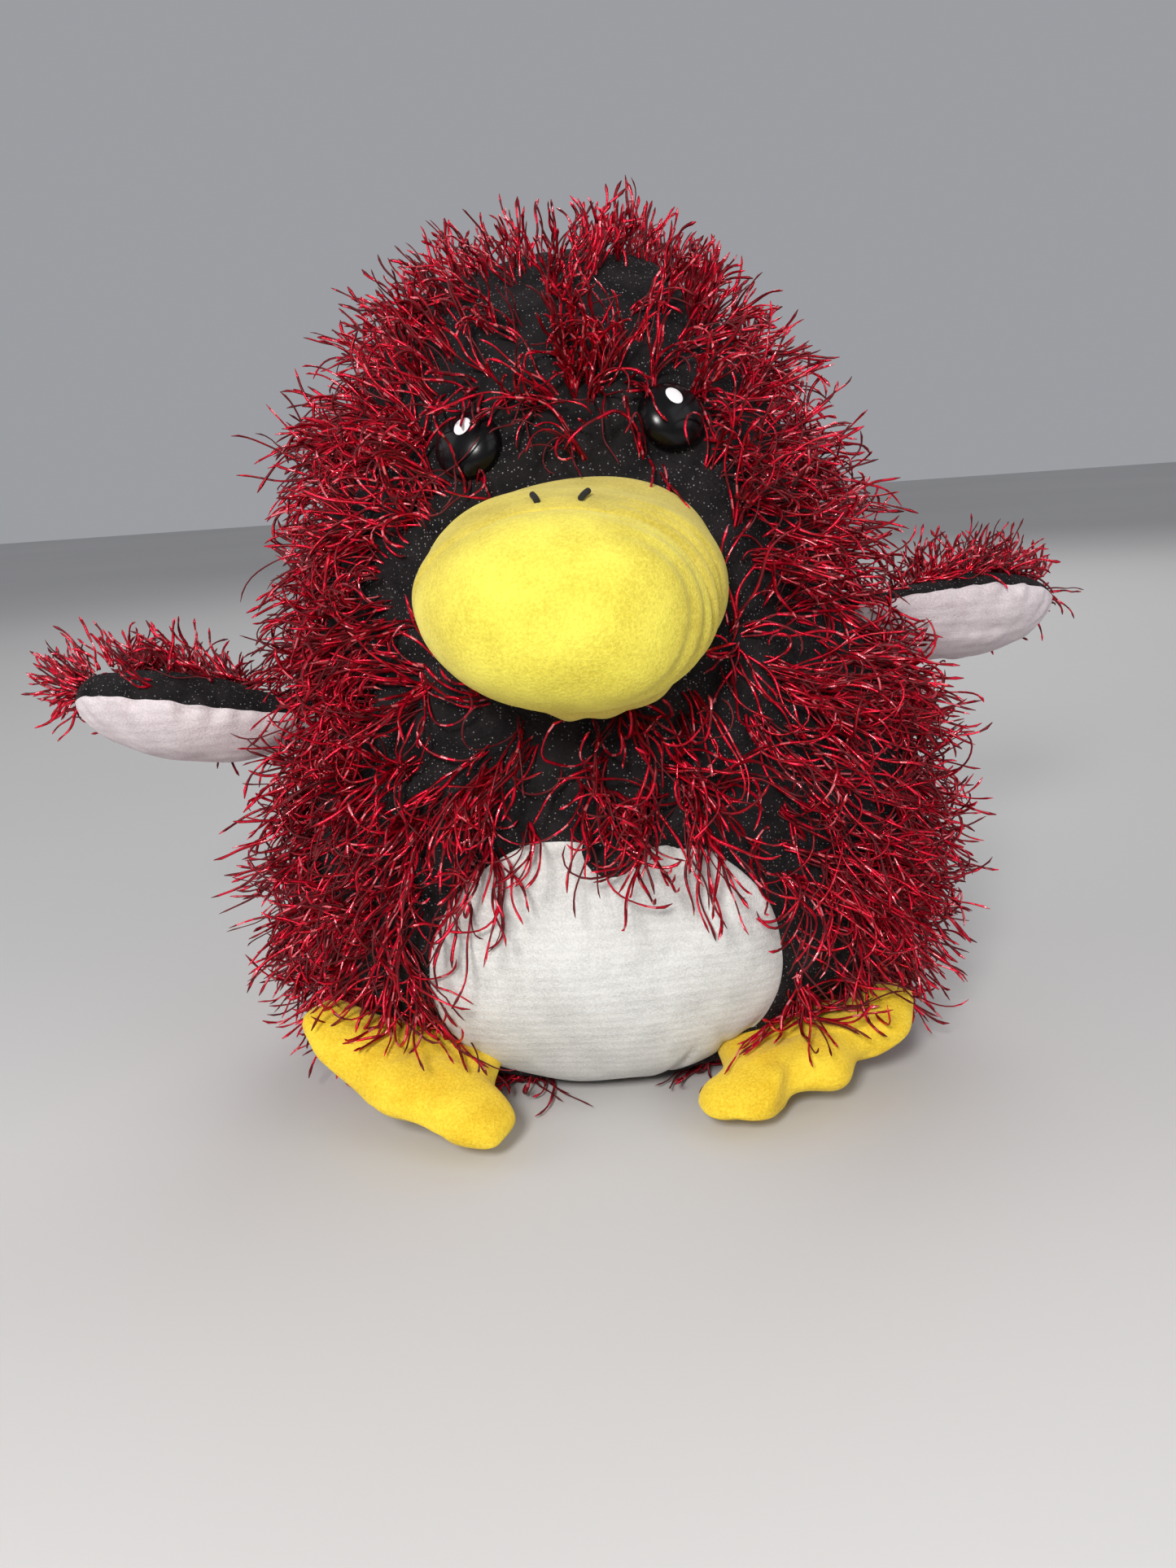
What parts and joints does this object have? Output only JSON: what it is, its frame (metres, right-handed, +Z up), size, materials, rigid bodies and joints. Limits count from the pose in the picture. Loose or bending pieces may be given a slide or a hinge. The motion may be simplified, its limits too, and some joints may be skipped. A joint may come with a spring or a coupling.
{
  "type": "plush penguin",
  "caption": "Seated plush penguin with a round padded beak, domed eyes, a pale belly, red eyelash-yarn pile, hinged stuffed wings and webbed feet.",
  "frame": {"origin": "on the plane it sits on, under the middle of the part's box", "axes": "the penguin faces -Y; +X is to the right of someone looking at its face; +Z is up"},
  "size_m": [0.2389, 0.1579, 0.1973],
  "materials": {
    "black_knit": "matt knitted fabric",
    "white_velour": "short-pile velour",
    "pale_velour": "short-pile velour",
    "yellow_fleece": "brushed fleece",
    "beak_fleece": "brushed fleece",
    "polyester_fibre": "loose fibre filling",
    "pellet_bag": "plain woven bag of plastic pellets",
    "eye_plastic": "polished moulding",
    "eye_spot": "printed inlay",
    "washer_plastic": "plain moulding",
    "red_yarn": "metallic yarn",
    "black_thread": "spun thread"
  },
  "bodies": {
    "torso": {"base_panel": "black_knit", "beak_fill": "polyester_fibre", "beak_front": "beak_fleece", "beak_gusset": "beak_fleece", "belly_panel": "white_velour", "body_fill": "polyester_fibre", "closing_thread": "black_thread", "cover_left": "black_knit", "cover_right": "black_knit", "crown_fringe": "red_yarn", "eye_left": "eye_plastic", "eye_right": "eye_plastic", "eye_spot_left": "eye_spot", "eye_spot_right": "eye_spot", "eye_washer_left": "washer_plastic", "eye_washer_right": "washer_plastic", "nostril_stitch_left": "black_thread", "nostril_stitch_right": "black_thread", "pellet_bag": "pellet_bag"},
    "left_wing": {"left_wing_fill": "polyester_fibre", "left_wing_lining": "pale_velour", "left_wing_outer": "black_knit"},
    "right_wing": {"right_wing_fill": "polyester_fibre", "right_wing_lining": "pale_velour", "right_wing_outer": "black_knit"},
    "left_foot": {"left_foot_fill": "polyester_fibre", "left_foot_sole": "yellow_fleece", "left_foot_upper": "yellow_fleece"},
    "right_foot": {"right_foot_fill": "polyester_fibre", "right_foot_sole": "yellow_fleece", "right_foot_upper": "yellow_fleece"}
  },
  "joints": [
    {"name": "left_wing_flap", "type": "hinge", "parent": "torso", "child": "left_wing", "pos_m": [-0.0734, 0.00613, 0.08657], "axis": [-0.2845, 0.8534, -0.4367], "range_deg": [-30, 40], "stiffness_Nm_per_rad": 0.02},
    {"name": "right_wing_flap", "type": "hinge", "parent": "torso", "child": "right_wing", "pos_m": [0.07104, 0.02654, 0.09768], "axis": [0.2427, -0.772, 0.5874], "range_deg": [-30, 40], "stiffness_Nm_per_rad": 0.02},
    {"name": "left_foot_lift", "type": "hinge", "parent": "torso", "child": "left_foot", "pos_m": [-0.03975, -0.02971, 0.014], "axis": [-0.8297, 0.4959, 0.2563], "range_deg": [0, 20], "stiffness_Nm_per_rad": 0.02},
    {"name": "right_foot_lift", "type": "hinge", "parent": "torso", "child": "right_foot", "pos_m": [0.03961, -0.02577, 0.0105], "axis": [-0.8681, -0.4816, -0.1207], "range_deg": [0, 20], "stiffness_Nm_per_rad": 0.02}
  ]
}
